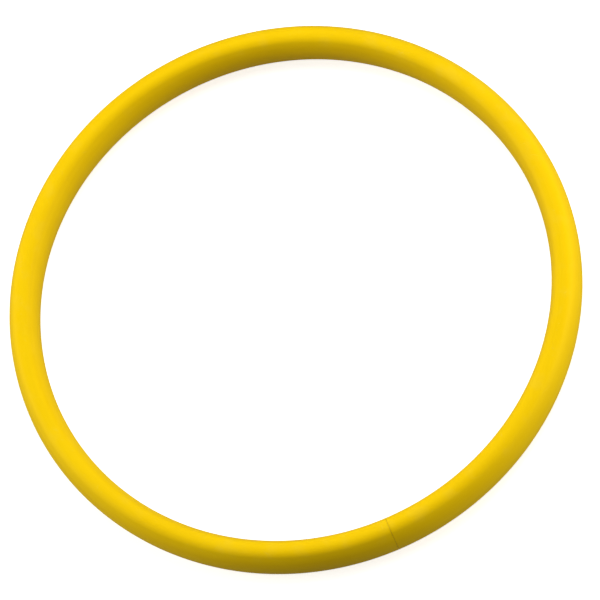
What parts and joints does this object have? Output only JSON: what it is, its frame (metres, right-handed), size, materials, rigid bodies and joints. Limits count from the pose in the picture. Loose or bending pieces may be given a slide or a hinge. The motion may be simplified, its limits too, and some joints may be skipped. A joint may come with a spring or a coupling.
{
  "type": "juggling ring",
  "caption": "Slim juggling ring: an oval plastic tube bent into a hoop and butted over a hidden riveted splice plug.",
  "frame": {"origin": "centre of the ring, in the middle of its thickness, with the ring lying flat", "axes": "+Z along the ring's axis, up; -Y towards the butt joint in the tube; +X to the right"},
  "size_m": [0.3198, 0.3199, 0.029],
  "materials": {
    "yellow_tube": "satin",
    "plug_plastic": "matte",
    "rivet_aluminium": "satin",
    "mandrel_steel": "satin"
  },
  "bodies": {
    "root": {"hoop_tube": "yellow_tube", "splice_plug": "plug_plastic", "rivet_bodies": "rivet_aluminium", "rivet_mandrels": "mandrel_steel"}
  },
  "joints": []
}
